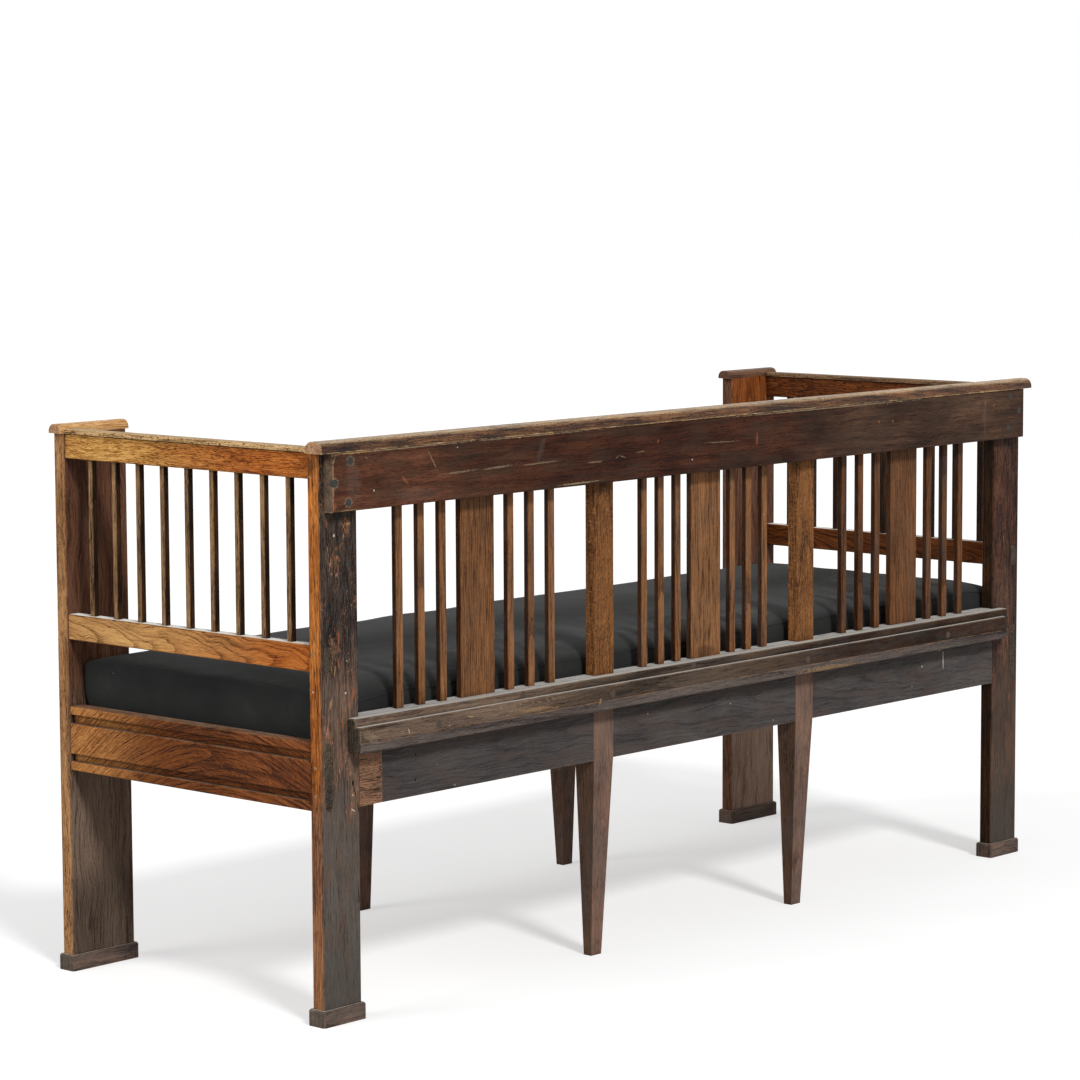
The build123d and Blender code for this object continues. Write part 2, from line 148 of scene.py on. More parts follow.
# %% The finish class
class Finish:
    """A material whose nodes are made by Python expressions."""

    def __init__(self, name, shine=0.5):
        self.material = bpy.data.materials.new(name)
        self.material.use_nodes = True
        self.tree = self.material.node_tree
        self.shader = self.tree.nodes["Principled BSDF"]
        self.surface({"Specular IOR Level": shine})

    def feed(self, socket, value):
        if isinstance(value, Value):
            self.tree.links.new(value.socket, socket)
        else:
            socket.default_value = value

    def node(self, kind, settings, feeds, out=0):
        """Add a node, make its settings, feed its sockets and give back one of its outputs."""
        node = self.tree.nodes.new("ShaderNode" + kind)
        for name, setting in settings.items():
            if name == "stops":
                elements = node.color_ramp.elements
                while len(elements) < len(setting):
                    elements.new(1.0)
                for element, (place, colour) in zip(elements, setting):
                    element.position = place
                    element.color = tone(colour)
            else:
                setattr(node, name, setting)
        for name, value in feeds.items():
            self.feed(node.inputs[name], value)
        return Value(self, node.outputs[out])

    def split(self, vector):
        node = self.node("SeparateXYZ", {}, {"Vector": vector}).socket.node
        return [Value(self, output) for output in node.outputs]

    def noise(self, x, y, z, detail=2.0, roughness=0.5):
        joined = self.node("CombineXYZ", {}, {"X": x, "Y": y, "Z": z})
        feeds = {"Vector": joined, "Scale": 1.0, "Detail": detail, "Roughness": roughness}
        return self.node("TexNoise", {}, feeds, "Fac")

    def ramp(self, value, *stops):
        return self.node("ValToRGB", {"stops": stops}, {"Fac": value}, "Color")

    def facing(self, direction, low=0.6, high=0.85):
        normal = self.node("NewGeometry", {}, {}, "Normal")
        turned = self.node("VectorMath", {"operation": "DOT_PRODUCT"}, {0: normal, 1: direction}, "Value")
        return turned.step(low, high)

    def corner(self, reach, **settings):
        return 1 - self.node("AmbientOcclusion", {"samples": 8, **settings}, {"Distance": reach}, "AO")

    def arris(self, reach):
        return self.corner(reach, inside=True, only_local=True)

    def seen_ray(self):
        """1 for rays that the camera follows, and 0 for rays that only gather light."""
        seen = self.node("LightPath", {}, {}, "Is Camera Ray")
        for ray in ("Is Glossy Ray", "Is Transmission Ray"):
            seen = seen.math("MAXIMUM", self.node("LightPath", {}, {}, ray))
        return seen

    def surface(self, feeds):
        for name, value in feeds.items():
            self.feed(self.shader.inputs[name], value)
        return self.material

    def finish(self, colour, roughness, height, relief):
        bump = self.node("Bump", {}, {"Height": height, "Distance": relief, "Strength": 1.0}, "Normal")
        return self.surface({"Base Color": colour, "Roughness": roughness, "Normal": bump})


print("moves of a finish:", ", ".join(name for name in vars(Finish) if not name.startswith("_")))

# %% [markdown]
# ## What oak looks like, in numbers
#
# A board is a slice of a trunk. Its rings are shells round a pith that lies a few centimetres behind the
# board's wide face, and the tilt of the board against the trunk draws them out into arches. Where a board
# was cut from a leaning or curling trunk the figure runs across it, so the place across the face gets a
# slope and a curve before the rings are read. A ring begins with a line of open pores, dark on one side
# and fading on the other. Streaks and pores are noises squeezed along the grain, and ray flecks are short
# light dashes across it. Lengths in these formulas are millimetres from the middle of the piece, and each
# piece, like each bar of a set, reads the noises at a far place of its own, so that no two are alike.

# %% The grain of one board
MM = 1000.0
axis_order = {"x": (1, 2, 0), "y": (0, 2, 1), "z": (1, 0, 2)}
piece_shift, bar_shift = 311.7, 173.1
deep_share, along_share = 0.37, 2.1


class Board:
    """Places on one board: into its wide face, across it and along it, and the patterns of its grain."""

    def __init__(self, finish, seed, along, middle, pith=(-70.0, 0.0), tilt=0.03, lean=0.0, curl=0.0,
                 sway=14.0, ripple=0.0, bars=None):
        self.finish = finish
        self.place = finish.node("TexCoord", {}, {}, "Object")
        self.metres = finish.split(self.place)
        deep, across, length = [(self.metres[axis] - middle[axis]) * MM for axis in axis_order[along]]
        shift = piece_shift * seed
        if bars is not None:
            axis, start, pitch = bars
            number = ((self.metres[axis] - start) / pitch).math("FLOOR")
            shift = number * bar_shift + shift
        self.deep = deep + shift * deep_share
        self.across = across + shift
        self.along = length + shift * along_share
        swing = finish.noise(self.across * 0.012, self.deep * 0.012, self.along * 0.009, 2.0) - 0.5
        slope = across + length * lean + length * length * curl + swing * sway
        if ripple:
            small = finish.noise(self.across * 0.05, self.deep * 0.05, self.along * 0.03)
            slope = slope + (small - 0.5) * ripple
        squared = (deep - pith[0]) * (deep - pith[0]) + (slope - pith[1]) * (slope - pith[1])
        self.slope = slope + shift
        self.radius = squared ** 0.5 + length * tilt + shift

    def rings(self, width):
        feeds = {"W": self.radius / (width * 2.7), "Scale": 1.0, "Detail": 1.0}
        uneven = self.finish.node("TexNoise", {"noise_dimensions": "1D"}, feeds, "Fac")
        turns = self.radius / width + uneven * 2.2
        return turns.math("FRACT").step(0.45, 0.0)

    def noise(self, across, deep, along, detail=2.0, roughness=0.5):
        """Noise whose grains have these sizes across, into and along the board."""
        x, y, z = self.across / across, self.deep / deep, self.along / along
        return self.finish.noise(x, y, z, detail, roughness)

    def figure(self, width, deep, length, detail=2.0, roughness=0.5):
        """Noise that follows the slope and sway of the grain."""
        x, y, z = self.slope / width, self.deep / deep, self.along / length
        return self.finish.noise(x, y, z, detail, roughness)

    def streaks(self, width=1.4, length=80.0):
        return self.figure(width, width * 2, length, 3.0, 0.62)

    def fine_lines(self):
        return self.figure(1.15, 1.15, 50.0, 1.0, 0.6).step(0.5, 0.62)

    def pores(self, width, length):
        return self.figure(width, width, length, 1.0).step(0.54, 0.66)

    def flecks(self):
        leaning = (self.slope + self.along * 0.55) / 1.8
        fine = self.finish.noise(leaning, self.deep / 9.0, self.along / 12.0, 1.0)
        return fine.step(0.55, 0.68)


print("grain axes:", axis_order)

# %% [markdown]
# ## Stains and faces
#
# The same board can be honey on one face and black on the next: the outer faces of the ends have had the
# light, the backs have had a century of soot against a wall. So a stain is three tones, dark, middle and
# light, and a piece gives one stain for all its faces and then others for the faces that look one way.

# %% Stains
stains = {
    "honey": "77481c bf8844 e0b066",
    "honey_low": "6b4520 b58550 d8aa69",
    "amber": "48220b 9c501c c37837",
    "amber_far": "3a1c0b 88491f ae6a35",
    "russet": "240f06 562c12 844b22",
    "russet_far": "220f06 532a11 7f4620",
    "russet_back": "2a1208 623419 92552b",
    "orange": "48220b a86027 d08845",
    "post_low": "332016 84583c a8744e",
    "edge": "372312 966a43 c89a68",
    "fumed": "2e1b11 5c3b2a 7c5844",
    "umber": "392d23 6c594c 846f5f",
    # A darker umber, painted shade low on the back of the near front post.
    "umber_foot_painted_shade": "281f18 54453a 6b5a4c",
    # A lighter umber, painted light low on the back of the far front post, where the back keeps the lamp
    # off.
    "umber_far_painted_light": "624e42 a28673 b89c87",
    "soot": "0f0b0a 322925 57483e",
    "soot_far": "140a06 3a231a 643e2c",
    "ash": "332c27 584f48 726860",
    "ash_far": "241a15 473830 63503f",
    "crest": "1e110a 4b2b1d 724834",
    "crest_mid": "130905 33190f 553120",
    "crest_far": "1c110b 422d22 654b39",
    "mould": "2d2119 675447 8b7460",
    "mould_mid": "1a120d 45392f 655243",
    "mould_far": "120b07 311f14 4c3626",
    "mould_low": "2b2320 534945 6d6159",
    "slat": "3a2212 7e5636 a06e48",
    "slat_far": "26140a 5e3c23 845634",
    "slat_side": "120803 311a0c 523015",
    "wide": "3a2212 704a2e 94643e",
    "stile": "341d0c 674225 946238",
    "apron": "1e1b19 454140 605a56",
    "block": "2e1e16 785a47 9d7257",
    "leg": "2c1c15 765a4d 90715f",
    "leg_side": "261912 5d4536 7a5a48",
    "cap": "483220 8c7050 b6936b",
    "cap_back": "140c07 43291a 7c5536",
    "front_cap": "7a4a1e b9854c dcb078",
    "cap_far": "2a170c 5a3620 7c5536",
    "strip_far": "24160c 5c4028 8a6a48",
    "end_grain": "5a3a24 a57955 c9a07a",
    "strip": "3e2810 96703f ceaa78",
    "foot": "2a1e18 66544a 887262",
    "foot_end": "2a241e 554a41 766859",
    "spindle": "26180e 7e5e40 a8845c",
    "inner": "0d0603 25160a 432a14",
    "rust": "281a15 67564b 92705c",
    "rust_far": "1a100c 40302a 684a3a",
    "tenon": "161210 3b342d 625748",
    "seat_rail": "4f2c14 a36836 d09455",
    "bare_wood": "5a3c20 8d6a42 ad8a5c",
}
outward = {"left": (-1.0, 0.0, 0.0), "right": (1.0, 0.0, 0.0)}
inward = {"left": (1.0, 0.0, 0.0), "right": (-1.0, 0.0, 0.0)}
rightward, backward, frontward = (1.0, 0.0, 0.0), (0.0, 1.0, 0.0), (0.0, -1.0, 0.0)
skyward = (0.0, 0.0, 1.0)


def stain_colour(finish, shade, name):
    dark, middle, light = stains[name].split()
    return finish.ramp(shade, (0.16, dark), (0.5, middle), (0.84, light))


print("stains:", ", ".join(stains))

# %% [markdown]
# ## Marks
#
# A few marks stand out one by one: a scrape, a bare chip, a drip of whitewash, a crack. Each is a long thin
# oval between two points of a face. A Mapping node set to Texture turns the oval into a unit ball, so the
# length of the mapped vector is 1 at its rim, and a little noise added to that length breaks the rim up.
# Marks of one row are joined with a maximum before they colour the wood. A row has a kind, a strength, a
# raggedness and its ovals: a place along the face and its height, twice, and a width, all in millimetres.

# %% Marks between two points of a face
mark_tones = {
    "pale": "9a866c",
    "white": "c8c4b8",
    "grey": "6a6058",
    "orange": "935636",
    "tan": "a88458",
    "brown": "3a2416",
    "black": "0c0806",
}


def oval(finish, place, plane, start, low, end, high, width):
    """Distance from the middle of an oval, 1 at its rim, from (start, low) to (end, high) on the plane."""
    centre = [(start + end) / 2 / MM, (low + high) / 2 / MM]
    half_length = max(math.hypot(end - start, high - low), width) / 2 / MM
    angle = math.atan2(high - low, end - start)
    if plane == "back":
        location, turn = (centre[0], 0.0, centre[1]), (0.0, -angle, 0.0)
        size = (half_length, 10.0, width / 2 / MM)
    else:
        location, turn = (0.0, centre[0], centre[1]), (angle, 0.0, 0.0)
        size = (10.0, half_length, width / 2 / MM)
    feeds = {"Vector": place, "Location": location, "Rotation": turn, "Scale": size}
    mapped = finish.node("Mapping", {"vector_type": "TEXTURE"}, feeds)
    return finish.node("VectorMath", {"operation": "LENGTH"}, {0: mapped}, "Value")


def marked(finish, board, colour, plane, marks):
    """The colour with marks on the faces that look along the plane's axis."""
    side = finish.facing(backward if plane == "back" else rightward)
    grit = board.noise(2.2, 2.2, 6.0, 4.0, 0.75) - 0.5
    for kind, strength, ragged, ovals in marks:
        rough = grit * (ragged * 2.5)
        mask = None
        for ends_and_width in ovals:
            inside = (oval(finish, board.place, plane, *ends_and_width) + rough).step(1.1, 0.55)
            mask = inside if mask is None else mask.math("MAXIMUM", inside)
        colour = colour.coat(mask * side * strength, mark_tones[kind])
    return colour


print("kinds of mark:", ", ".join(mark_tones))

# %% [markdown]
# ## The oak finish
#
# One function makes the finish of any wooden piece. It mixes the grain into one shade from dark to light,
# colours that shade with the stains of the faces, and then adds what time did: a soft haze of another tone,
# bare wood on the arrises, white specks, and pale dust where a face looks up. It also darkens the inner
# corners, which is grime and painted shade together.
# A fade changes the stain of one face along an axis, between two places in millimetres. The finish of each
# piece has its own name and its own seed.

# %% Oak finish
# Dark tone of the cracks, and of the darkened inner corners, which are grime and painted shade together.
grime_and_shade = "140e0a"


def oak(name, seed, middle, along, stain, faces=(), ring=0.30, ring_width=6.0, streak=0.7, line=0.35,
        band=0.3, pore=0.15, pore_size=(0.9, 7.0), patch=0.7, flecks=0.0, haze=0.0, haze_tone="4b4744",
        wear=0.5, reach=0.003, bare="b5855a", dust=0.2, dust_tone="c6c0b4", dust_above=None, dirt=0.55,
        cracks=0.0, specks=0.0, gloss=0.55, shine=0.08, fades=(), marks=(), extra=None, **board_settings):
    """Finish for one wooden piece. extra(finish, board, colour, shade) may change the colour further."""
    finish = Finish(name, shine)
    board = Board(finish, seed, along, middle, **board_settings)
    pores = board.pores(*pore_size)
    blotches = board.noise(45.0, 45.0, 150.0, 3.0, 0.6)
    shade = (board.streaks() - 0.5) * streak + (board.streaks(6.0, 240.0) - 0.5) * band
    shade = shade + (blotches - 0.5) * patch - board.fine_lines() * line - pores * pore
    shade = shade - board.rings(ring_width) * (pores * 0.3 + 0.7) * ring
    if flecks:
        shade = shade + board.flecks() * flecks
    shade = shade + 0.5 + ring * 0.25 + pore * 0.15 + line * 0.2
    colour = stain_colour(finish, shade, stain)
    for direction, other in faces:
        colour = colour.coat(finish.facing(direction), stain_colour(finish, shade, other))
    for direction, other, axis, start, end in fades:
        reached = (board.metres[axis] * MM + (blotches - 0.5) * (end - start) * 0.6).step(start, end)
        faded = reached * finish.facing(direction)
        colour = colour.coat(faded, stain_colour(finish, shade, other))
    if haze:
        cloud = finish.noise(board.across / 24.0 + 7.0, board.deep / 24.0, board.along / 80.0, 3.0, 0.6)
        colour = colour.coat(cloud.step(0.44, 0.6) * haze, haze_tone)
    if extra is not None:
        colour = extra(finish, board, colour, shade)
    patches = board.noise(7.0, 7.0, 22.0, 3.0, 0.65)
    rubbed = (finish.arris(reach) + (patches - 0.5) * 1.1).step(0.3, 0.62) * wear
    colour = colour.coat(rubbed, bare)
    # Painted shade and grime: faces darken in the inner corners, where other pieces come close.
    inner = finish.corner(0.016)
    dirty = (inner + (patches - 0.5) * 0.3).step(0.2, 0.8) * dirt
    colour = colour.coat(dirty, grime_and_shade)
    if specks:
        cell = finish.node("TexVoronoi", {}, {"Vector": board.place, "Scale": 30.0}, "Distance")
        spots = board.noise(30.0, 30.0, 30.0, 0.0)
        speck = cell.step(0.045, 0.025) * spots.step(0.53, 0.55) * specks
        colour = colour.coat(speck, mark_tones["white"])
    for plane, plane_marks in marks:
        colour = marked(finish, board, colour, plane, plane_marks)
    settled = finish.facing(skyward, 0.75, 0.95)
    if dust_above is not None:
        settled = finish.facing(skyward, 0.93, 0.99)
        settled = settled * (board.metres[2] * MM).step(dust_above - 4.0, dust_above + 4.0)
    film = board.noise(9.0, 9.0, 30.0, 4.0, 0.65)
    dusty = (film + dust * 0.35).step(0.42, 0.72) * settled * dust
    colour = colour.coat(dusty, dust_tone)
    roughness = (patches + pores * 0.3 + dusty).step(0.2, 1.5) * 0.4 + gloss
    height = shade * 0.4 - pores * 0.5 + patches * 0.3
    if cracks:
        crack = board.figure(2.2, 3.4, 55.0, 2.0, 0.7).step(0.63, 0.69) * cracks
        colour = colour.coat(crack, grime_and_shade)
        height = height - crack * 2.0
    return finish.finish(colour, roughness, height, 0.0005)


dressed = set()


def dress_oak(node_name, *arguments, **settings):
    """Dress a piece in oak. Its seed is its place in the list of names, so it is the same in each run."""
    low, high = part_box(node_name)
    seed = 1.0 + sorted(nodes).index(node_name)
    material = oak(node_name + "_finish", seed, (low + high) / 2, *arguments, **settings)
    slots = nodes[node_name].material_slots
    if not slots:
        nodes[node_name].data.materials.append(material)
    for material_slot in slots:
        material_slot.material = material
    dressed.add(node_name)


print("grime in linear values:", [round(part, 4) for part in tone(grime_and_shade)])

# %% [markdown]
# ## The ends
#
# Everything on an end has been faded on the side that looks outward. The front post shows only its edge
# and its inner face, which kept the dark brown fuming. The back post is the plainest story of all: orange
# on the outside, black and chipped on the back above the seat, and a smooth grey brown below. Its coats are
# masks of long thin noise patches, laid one over the other: a grey film, a red-brown undercoat, burnt black
# and tan chips. The tenons of two rails end in its back, and a dark line is drawn round each of them.

# %% The back of a back post
def weathered(rust_stain, low_stain, filmed, chipped):
    """Chipped black above the seat, rust by the seat rail, and a smooth low part of another stain."""

    def change(finish, board, colour, shade):
        height = board.metres[2] * MM
        back = finish.facing(backward)
        drift = board.noise(24.0, 1.0, 60.0, 3.0) - 0.5
        film = board.noise(3.2, 1.0, 20.0, 4.0, 0.8)
        under = finish.noise(board.across / 2.4, board.deep + 90.0, board.along / 14.0, 4.0, 0.8)
        burnt = finish.noise(board.across / 1.5, board.deep + 40.0, board.along / 20.0, 3.0, 0.75)
        chips = board.noise(2.0, 2.0, 8.0, 4.0, 0.8)
        rust = (height + drift * 200.0).step(580.0, 460.0) * back
        smooth = (height + drift * 140.0).step(375.0, 285.0) * back
        chip_tones = finish.ramp(
            board.noise(5.0, 5.0, 14.0), (0.35, "6b5a3a"), (0.5, "8e5a3e"), (0.68, "b48a70"))
        coats = [
            (film.step(0.48, 0.62) * back * filmed, "585a57"),
            (under.step(0.5, 0.62) * back * 0.5, "532e22"),
            (rust * 0.75, stain_colour(finish, shade, rust_stain)),
            (burnt.step(0.49, 0.58) * back * (0.85 - rust * 0.5), "0e0c0b"),
            ((chips + drift * 0.6 + rust * 0.02).step(0.57, 0.64) * back * chipped, chip_tones),
            (smooth, stain_colour(finish, shade * 0.35 + 0.37, low_stain)),
            (smooth * drift.step(0.0, 0.12) * 0.35, "6b4c3c"),
            (height.step(230.0, 40.0) * back * 0.5, "3e3e3b"),
        ]
        for mask, over in coats:
            colour = colour.coat(mask, over)
        return colour

    return change


def tenon_outlines(side):
    """Dark gaps round the ends of the middle rail's and the seat rail's tenons."""
    half_width, end_inset = 7.4, 2.0
    upright_line, level_line = 2.6, 2.4
    lines = []
    for rail in ("mid", "seat"):
        low_corner, high_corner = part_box(f"end_{rail}_rail_{side}")
        middle = (low_corner.x + high_corner.x) / 2 * MM
        bottom, top = low_corner.z * MM + end_inset, high_corner.z * MM - end_inset
        for edge in (middle - half_width, middle + half_width):
            lines.append((edge, bottom, edge, top, upright_line))
        for height in (bottom, top):
            lines.append((middle - half_width, height, middle + half_width, height, level_line))
    return ("back", [("black", 0.8, 0.5, lines)])


post_marks = {
    "right": [
        ("back", [
            ("orange", 0.9, 1.4, [
                (847, 590, 846, 560, 4), (849, 548, 844, 525, 3), (843, 460, 838, 440, 4),
                (844, 413, 842, 380, 3), (869, 752, 870, 738, 3), (824, 470, 815, 500, 5)]),
            ("tan", 0.7, 1.2, [
                (861, 489, 866, 471, 5), (830, 742, 820, 743, 5), (853, 536, 856, 520, 3)]),
            ("white", 0.9, 0.5, [
                (853, 729, 854, 726, 5), (833, 494, 833, 492, 4), (824, 319, 816, 314, 2.4),
                (820, 340, 820, 338, 3)]),
            ("black", 1.0, 0.3, [
                (820, 358, 812, 330, 2), (812, 331, 804, 297, 2), (820, 362, 820, 352, 4.5)]),
        ]),
        ("side", [
            ("brown", 0.6, 0.8, [(262, 832, 262, 833, 34)]),
            ("pale", 0.8, 0.8, [(253, 850, 253, 815, 1.8), (252, 815, 272, 814, 1.8)]),
            ("white", 0.9, 0.3, [(266, 499, 267, 498, 3.5)]),
        ]),
        tenon_outlines("right"),
    ],
    "left": [
        ("back", [
            ("orange", 0.7, 1.2, [(-850, 420, -855, 380, 4), (-862, 300, -860, 280, 4)]),
        ]),
        tenon_outlines("left"),
    ],
}
print("posts with marks of their own:", ", ".join(post_marks))

# %% End frames
spindle_width, spindle_gaps = 0.010, 8
for side in ("left", "right"):
    out, into = outward[side], inward[side]
    far = side == "left"
    front_fades = [
        # On the far post the umber below the seat is a lighter copy: painted light where the back keeps the
        # lamp off.
        (backward, "umber_far_painted_light" if far else "umber", 2, 520.0, 330.0),
        # On the near post a darker umber at the foot is painted shade, set against the lamp's light there.
        (backward, "amber_far", 2, 690.0, 780.0) if far else (backward, "umber_foot_painted_shade", 2, 190.0, 110.0),
    ]
    dress_oak(
        f"post_front_{side}", "z", "fumed",
        [(out, "edge"), (frontward, "russet"), (into, "fumed" if far else "edge")],
        fades=front_fades, cracks=0.5, dust=0.3, pith=(-50.0, 10.0), ring=0.2, ring_width=7.0, sway=34.0,
        ripple=5.0, specks=0.8, bare="2c1c12", streak=0.55, line=0.25, pore=0.12)
    dress_oak(
        f"post_back_{side}", "z", "soot_far" if far else "soot",
        [(out, "orange"), (into, "inner"), (frontward, "amber")],
        fades=[(out, "post_low", 2, 380.0, 300.0)],
        extra=weathered("rust_far", "ash_far", 0.15, 0.3) if far else weathered("rust", "ash", 0.55, 0.8),
        marks=post_marks[side], cracks=0.7, dust=0.3, bare="1c120c", pith=(-60.0, 20.0), tilt=0.02,
        specks=0.6, patch=1.1, streak=0.6, pore_size=(1.1, 9.0))
    for place in ("front", "back"):
        dress_oak(f"foot_{place}_{side}", "x", "foot", [(out, "foot_end")], wear=0.9, dust=0.5,
                  bare="a89880", streak=0.5, line=0.2, haze=0.4)
    dress_oak(
        f"end_top_rail_{side}", "y", "russet_far" if far else "russet",
        [(out, "honey"), (backward, "soot")],
        fades=[(out, "amber", 1, -220.0, 150.0)], ring=0.2, ring_width=3.2, wear=0.25, pith=(-60.0, 5.0),
        sway=16.0, ripple=6.0, pore=0.4, pore_size=(1.0, 11.0), flecks=0.15, dirt=0.8, dust=0.4)
    dress_oak(
        f"end_mid_rail_{side}", "y", "russet", [(out, "honey_low"), (backward, "tenon")],
        fades=[(out, "amber", 1, -170.0, 270.0)], dust=1.0, dust_tone="dcd8d0", ring=0.38, ring_width=3.2,
        wear=0.25, pith=(-30.0, -12.0), tilt=0.05, sway=46.0, ripple=3.0, pore=0.12, streak=0.4, line=0.2)
    dress_oak(
        f"end_seat_rail_{side}", "y", "russet", [(out, "seat_rail"), (backward, "tenon")],
        fades=[(out, "russet", 1, -250.0, -60.0), (out, "russet_back", 1, 40.0, 220.0)], dust=0.35,
        dust_tone="8f8878", flecks=0.2, ring=0.34, streak=0.55, ring_width=3.0, wear=0.4, dirt=0.7,
        lean=-0.25, curl=0.0014, tilt=0.02, ripple=3.0)
    low_corner, high_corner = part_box(f"spindles_{side}")
    pitch = (high_corner.y - low_corner.y - spindle_width) / spindle_gaps
    dress_oak(
        f"spindles_{side}", "z", "inner", [(out, "spindle")], wear=0.9, bare="2a1a10",
        bars=(1, low_corner.y - pitch / 2 + spindle_width / 2, pitch), patch=1.0)
    cap_end = "cap_far" if far else "end_grain"
    dress_oak(
        f"cap_front_{side}", "x", "cap_far" if far else "front_cap", [(out, cap_end), (into, cap_end)],
        wear=0.7, bare="8a6444" if far else "dcb482", gloss=0.4, shine=0.25, ring=0.2, dirt=0.3)
    dress_oak(
        f"cap_strip_{side}", "y", "strip_far" if far else "strip", wear=0.7, dust=0.5, pore=0.6, dirt=0.7,
        bare="8a6444" if far else "c8a880", dust_tone="86725a" if far else "b8a486",
        pore_size=(1.3, 5.0), shine=0.2)
print("dressed so far:", len(dressed))

# %% [markdown]
# ## The back
#
# The crest board carries the marks of everything it was pushed against: scrapes along the middle, a chip
# at the near corner, a rubbed line under the cap. The slats are a clean mid brown with straight grain and
# dark sides. The sill and the ledges of the moulding hold the most dust, because nobody wipes behind a
# settle. The apron under it is the darkest plank.

# %% Marks on the back
crest_marks = [("back", [
    ("pale", 0.45, 1.3, [
        (674, 842, 654, 811, 2.8), (646, 803, 567, 805, 3.2), (558, 804, 480, 807, 3.2),
        (471, 804, 384, 806, 3), (314, 798, 280, 798, 3), (250, 800, 238, 804, 2.2),
        (238, 804, 224, 800, 2.2), (867, 846, 872, 830, 2.5), (806, 841, 800, 837, 2.5),
        (22, 810, -60, 808, 2), (200, 806, 176, 807, 2.2)]),
    ("pale", 0.8, 1.0, [
        (884, 848.5, 560, 849, 3.2), (620, 849, 285, 849, 3), (-40, 848, -560, 848, 2),
        (389, 767, 285, 768, 3)]),
    ("pale", 0.4, 1.0, [
        (836, 837, 836, 836, 18), (869, 806.5, 869, 805.5, 18), (841, 776.5, 841, 775.5, 18)]),
    ("orange", 0.6, 1.3, [
        (871, 776, 869, 768, 12), (731, 809, 716, 794, 5), (-754, 832, -754, 830, 7),
        (-778, 827, -781, 822, 6), (-440, 818, -441, 816, 6), (-480, 817, -480, 813, 6),
        (-466, 847, -462, 846, 7), (144, 822, 145, 820, 6), (-107, 820, -107, 797, 5)]),
    ("tan", 0.9, 0.9, [(879, 779, 873, 777, 6), (414, 849, 386, 849, 4), (476, 848, 468, 848, 4)]),
    ("tan", 0.7, 1.4, [
        (871.6, 849, 871.6, 764, 3.2), (873, 764.5, 800, 764.5, 2.6), (873, 848, 780, 849, 3.4)]),
    ("grey", 0.18, 0.6, [
        (833, 838, 828, 770, 34), (413, 846, 432, 806, 14), (-752, 838, -753, 770, 11),
        (757, 780, 640, 775, 22)]),
    ("white", 0.8, 0.4, [(788, 791, 788, 789, 3.5), (610, 842, 609, 841, 2.5), (60, 786, 59, 785, 3)]),
])]
mould_marks = [("back", [
    ("tan", 0.6, 1.4, [
        (528, 441, 521, 431, 1.6), (516, 443, 513, 434, 1.4), (507, 437, 493, 434, 1.5),
        (497, 442, 489, 430, 1.7), (483, 440, 480, 434, 1.4), (474, 443, 461, 437, 1.5),
        (456, 441, 449, 431, 1.6), (446, 437, 431, 435, 1.4), (424, 442, 415, 433, 1.6),
        (408, 440, 403, 435, 1.4)]),
    ("tan", 0.45, 2.2, [(500, 427, 392, 424, 5), (-213, 410, -368, 407, 8)]),
    ("tan", 0.8, 0.8, [(291, 425, 301, 414, 3.5), (600, 433, 585, 430, 2.5)]),
    ("pale", 0.35, 0.8, [(826, 437, 792, 418, 17)]),
    ("white", 0.6, 0.6, [(728, 431, 726, 421, 2), (640, 424, 639, 423, 2.5)]),
])]
apron_marks = {
    "left": [("back", [
        ("white", 0.8, 0.9, [
            (-656, 399, -657, 362, 3), (-594, 376, -593, 371, 4), (-640, 396, -672, 402, 1.6)]),
    ])],
    "middle": [("back", [
        ("white", 0.6, 0.4, [(150, 380, 149, 379, 3), (-60, 372, -61, 371, 3)]),
    ])],
    "right": [("back", [
        ("black", 1.0, 0.3, [(686, 384, 687, 382, 4), (687, 345, 688, 343, 4.5)]),
        ("pale", 0.7, 0.6, [(603, 323, 600, 326, 4), (640, 362, 641, 361, 3)]),
    ])],
}
middle_slat_marks = [("back", [
    ("black", 0.45, 1.4, [
        (-14, 506, -13, 482, 7), (-4, 501, -4, 480, 6), (8, 508, 8, 482, 5), (18, 499, 18, 480, 4)]),
    ("brown", 0.55, 0.6, [(-28, 464, 20, 464, 24)]),
])]
print("rows of marks on the crest board:", len(crest_marks[0][1]))

# %% Crest, moulding and apron
dress_oak(
    "cap_back", "x", "cap", [(backward, "cap_back"), (rightward, "end_grain")], wear=0.9, bare="d0ae80",
    reach=0.004, dust=0.35, gloss=0.45, shine=0.2, ring=0.2, pore=0.4, pore_size=(1.3, 5.0), dirt=0.6,
    patch=1.0, band=0.6)
dress_oak(
    "crest_board", "x", "crest", [(rightward, "mould")], marks=crest_marks, haze=0.4, haze_tone="3b2f25",
    fades=[(backward, "crest_mid", 0, 640.0, 380.0), (backward, "crest_far", 0, -150.0, -450.0)],
    wear=0.9, tilt=0.01, ring=0.15, streak=0.34, line=0.2, band=0.5, patch=1.0, bare="b08c64", reach=0.004,
    dust=0.4)
dress_oak("crest_rail", "x", "inner", dust=0.3)
dress_oak("back_sill", "x", "mould", dust=0.65, dust_tone="c4c4c2", wear=0.4)
mould_fades = [(backward, "mould_mid", 0, 560.0, 260.0), (backward, "mould_far", 0, 0.0, -400.0),
               (backward, "mould_low", 2, 422.0, 417.0)]
dress_oak(
    "sill_moulding", "x", "mould", [(rightward, "tenon")], fades=mould_fades, marks=mould_marks, wear=0.6,
    dust=0.85, dust_tone="bdbab3", tilt=0.01, dirt=0.75, dust_above=430.0, band=0.5, streak=0.55,
    line=0.25, haze=0.2)
for place in ("left", "middle", "right"):
    dress_oak(
        f"apron_{place}", "x", "apron", marks=apron_marks[place], haze=0.5, haze_tone="4e423c",
        tilt=0.02, ring=0.16, ring_width=3.4, wear=0.2, specks=0.5, sway=26.0, ripple=4.0, patch=0.6,
        pore=0.06, streak=0.4, line=0.15)
dress_oak("apron_end_block", "x", "block", wear=0.7, tilt=0.05, pore=0.4, patch=1.2, dirt=0.4)
print("dressed so far:", len(dressed))

